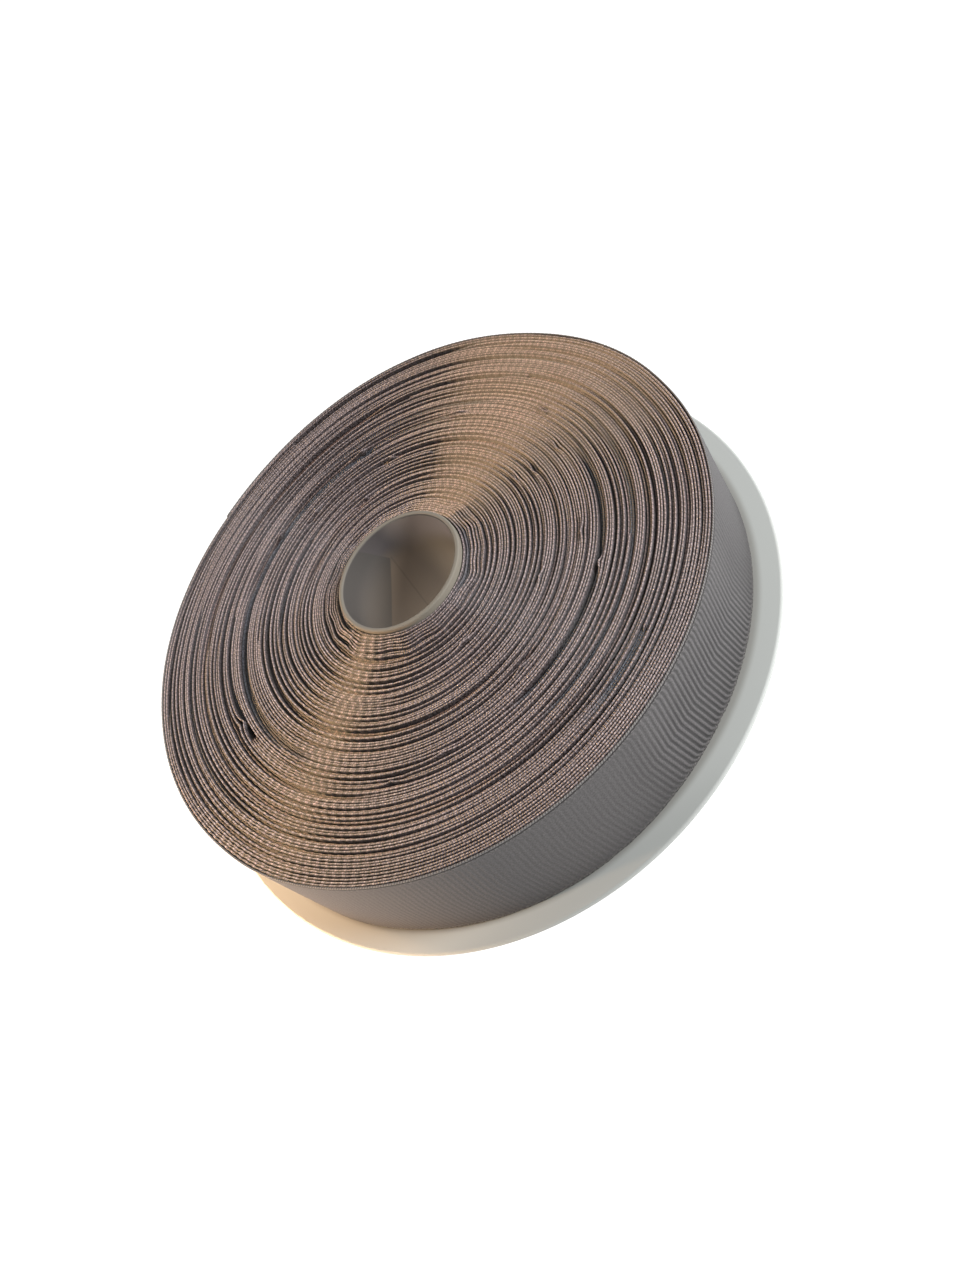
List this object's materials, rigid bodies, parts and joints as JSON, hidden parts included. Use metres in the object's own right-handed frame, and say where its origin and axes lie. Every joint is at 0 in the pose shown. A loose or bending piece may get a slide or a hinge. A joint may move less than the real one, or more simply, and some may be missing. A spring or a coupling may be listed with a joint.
{
  "type": "roll of ribbon",
  "caption": "Roll of grey-taupe grosgrain ribbon wound on a milky plastic flanged spool with an open core, lying flat on its flange.",
  "frame": {"origin": "on the winding axis, at the underside of the flange", "axes": "+Z along the winding axis, from the flange to the open face of the roll; -Y is the side that faces the viewer"},
  "size_m": [0.1412, 0.1412, 0.0295],
  "materials": {
    "ribbon": "matt polyester grosgrain with cross ribs",
    "spool": "milky moulded plastic, slightly translucent, satin"
  },
  "bodies": {
    "root": {"spool": "spool", "ribbon_roll": "ribbon"}
  },
  "joints": []
}
